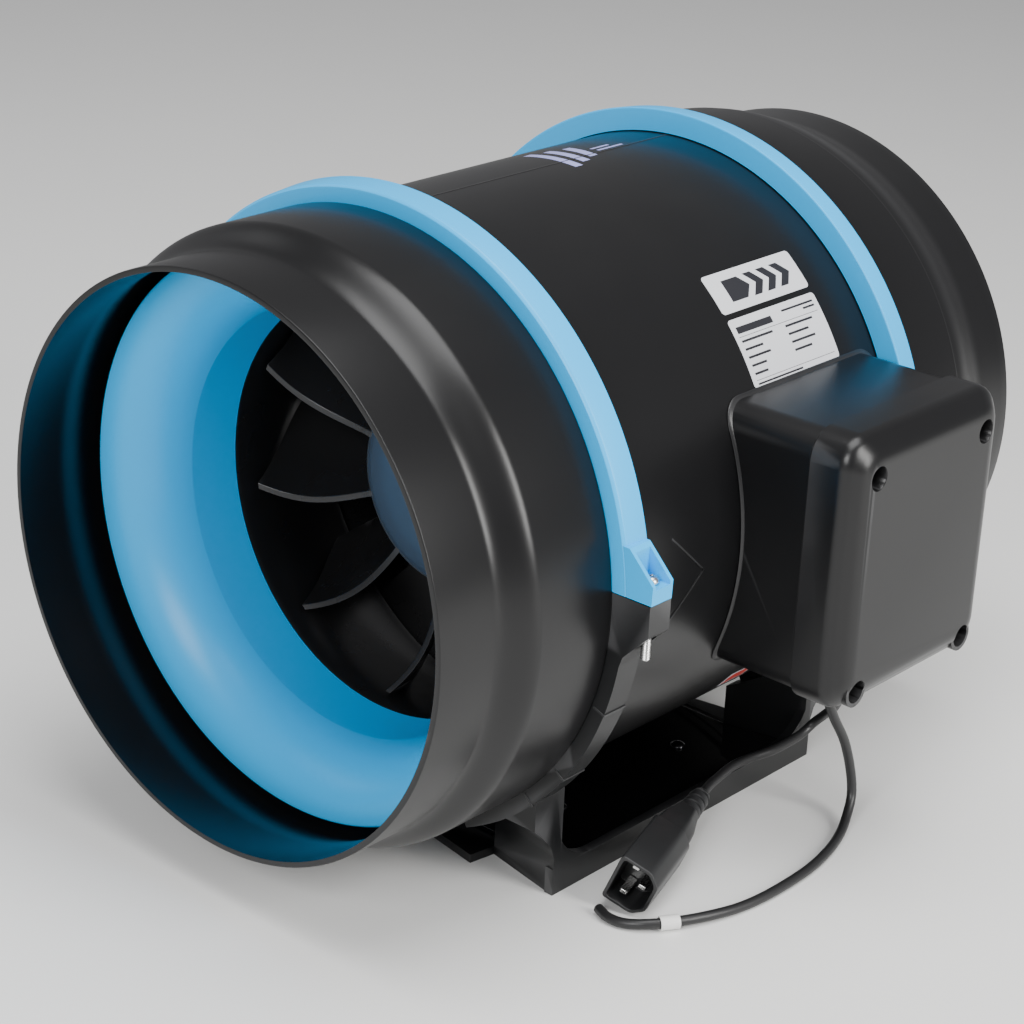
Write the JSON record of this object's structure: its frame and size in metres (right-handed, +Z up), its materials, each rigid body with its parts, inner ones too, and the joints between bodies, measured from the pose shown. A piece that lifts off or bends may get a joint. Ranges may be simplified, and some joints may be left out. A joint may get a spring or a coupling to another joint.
{
  "type": "inline duct fan",
  "caption": "Mixed-flow inline duct fan: round black casing with blue bellmouth and clamp bands, side terminal box, floor bracket, plug lead and a free-spinning impeller.",
  "frame": {"origin": "centre of the bracket's underside, on the surface the fan stands on", "axes": "+Z up, +Y along the fan's axis from inlet to outlet, +X towards the terminal box"},
  "size_m": [0.3368, 0.3866, 0.289],
  "materials": {
    "black_casing": "satin moulded plastic",
    "black_bracket": "satin moulded plastic",
    "gloss_black": "polished",
    "sky_blue": "satin gloss",
    "impeller_black": "satin",
    "hub_grey_blue": "satin",
    "rubber": "matt",
    "zinc_steel": "bright zinc",
    "laminated_steel": "stacked sheet",
    "cast_aluminium": "as cast",
    "copper": "enamelled wire",
    "white_plastic": "satin",
    "cord_black": "satin PVC"
  },
  "bodies": {
    "housing": {"inlet_casing": "black_casing", "centre_casing": "black_casing", "outlet_casing": "black_casing", "terminal_box_base": "black_casing", "terminal_box_cover": "black_casing", "mains_gland": "black_casing", "control_gland": "black_casing", "mains_gland_nut": "black_casing", "control_gland_nut": "black_casing", "mounting_bracket": "black_bracket", "bracket_tray_plate": "gloss_black", "inlet_bellmouth": "sky_blue", "inlet_clamp_band": "sky_blue", "outlet_clamp_band": "sky_blue", "wheel_liner": "impeller_black", "guide_vane_housing": "impeller_black", "tail_cone": "impeller_black", "inlet_seal": "rubber", "outlet_seal": "rubber", "cover_seal": "rubber", "front_bearing": "zinc_steel", "rear_bearing": "zinc_steel", "inlet_clamp_bolt_near": "zinc_steel", "inlet_clamp_bolt_far": "zinc_steel", "inlet_clamp_nut_near": "zinc_steel", "inlet_clamp_nut_far": "zinc_steel", "outlet_clamp_bolt_near": "zinc_steel", "outlet_clamp_bolt_far": "zinc_steel", "outlet_clamp_nut_near": "zinc_steel", "outlet_clamp_nut_far": "zinc_steel", "tray_screw_1": "zinc_steel", "tray_screw_2": "zinc_steel", "tray_screw_3": "zinc_steel", "tray_screw_4": "zinc_steel", "cover_screw_1": "zinc_steel", "cover_screw_2": "zinc_steel", "cover_screw_3": "zinc_steel", "cover_screw_4": "zinc_steel", "plug_pin_earth": "zinc_steel", "plug_pin_line": "zinc_steel", "plug_pin_neutral": "zinc_steel", "stator_core": "laminated_steel", "motor_flange": "cast_aluminium", "front_winding": "copper", "rear_winding": "copper", "terminal_block": "white_plastic", "run_capacitor": "white_plastic", "control_lead_tag": "white_plastic", "mains_lead": "cord_black", "control_lead": "cord_black", "plug_body": "cord_black", "plug_strain_relief": "cord_black"},
    "rotor": {"impeller": "impeller_black", "hub_cap": "hub_grey_blue", "rotor_cup": "zinc_steel", "rotor_ring": "laminated_steel", "motor_shaft": "zinc_steel"}
  },
  "joints": [
    {"name": "impeller_spin", "type": "hinge", "parent": "housing", "child": "rotor", "pos_m": [0, -0.04, 0.148], "axis": [0, -1, 0], "continuous": true}
  ]
}
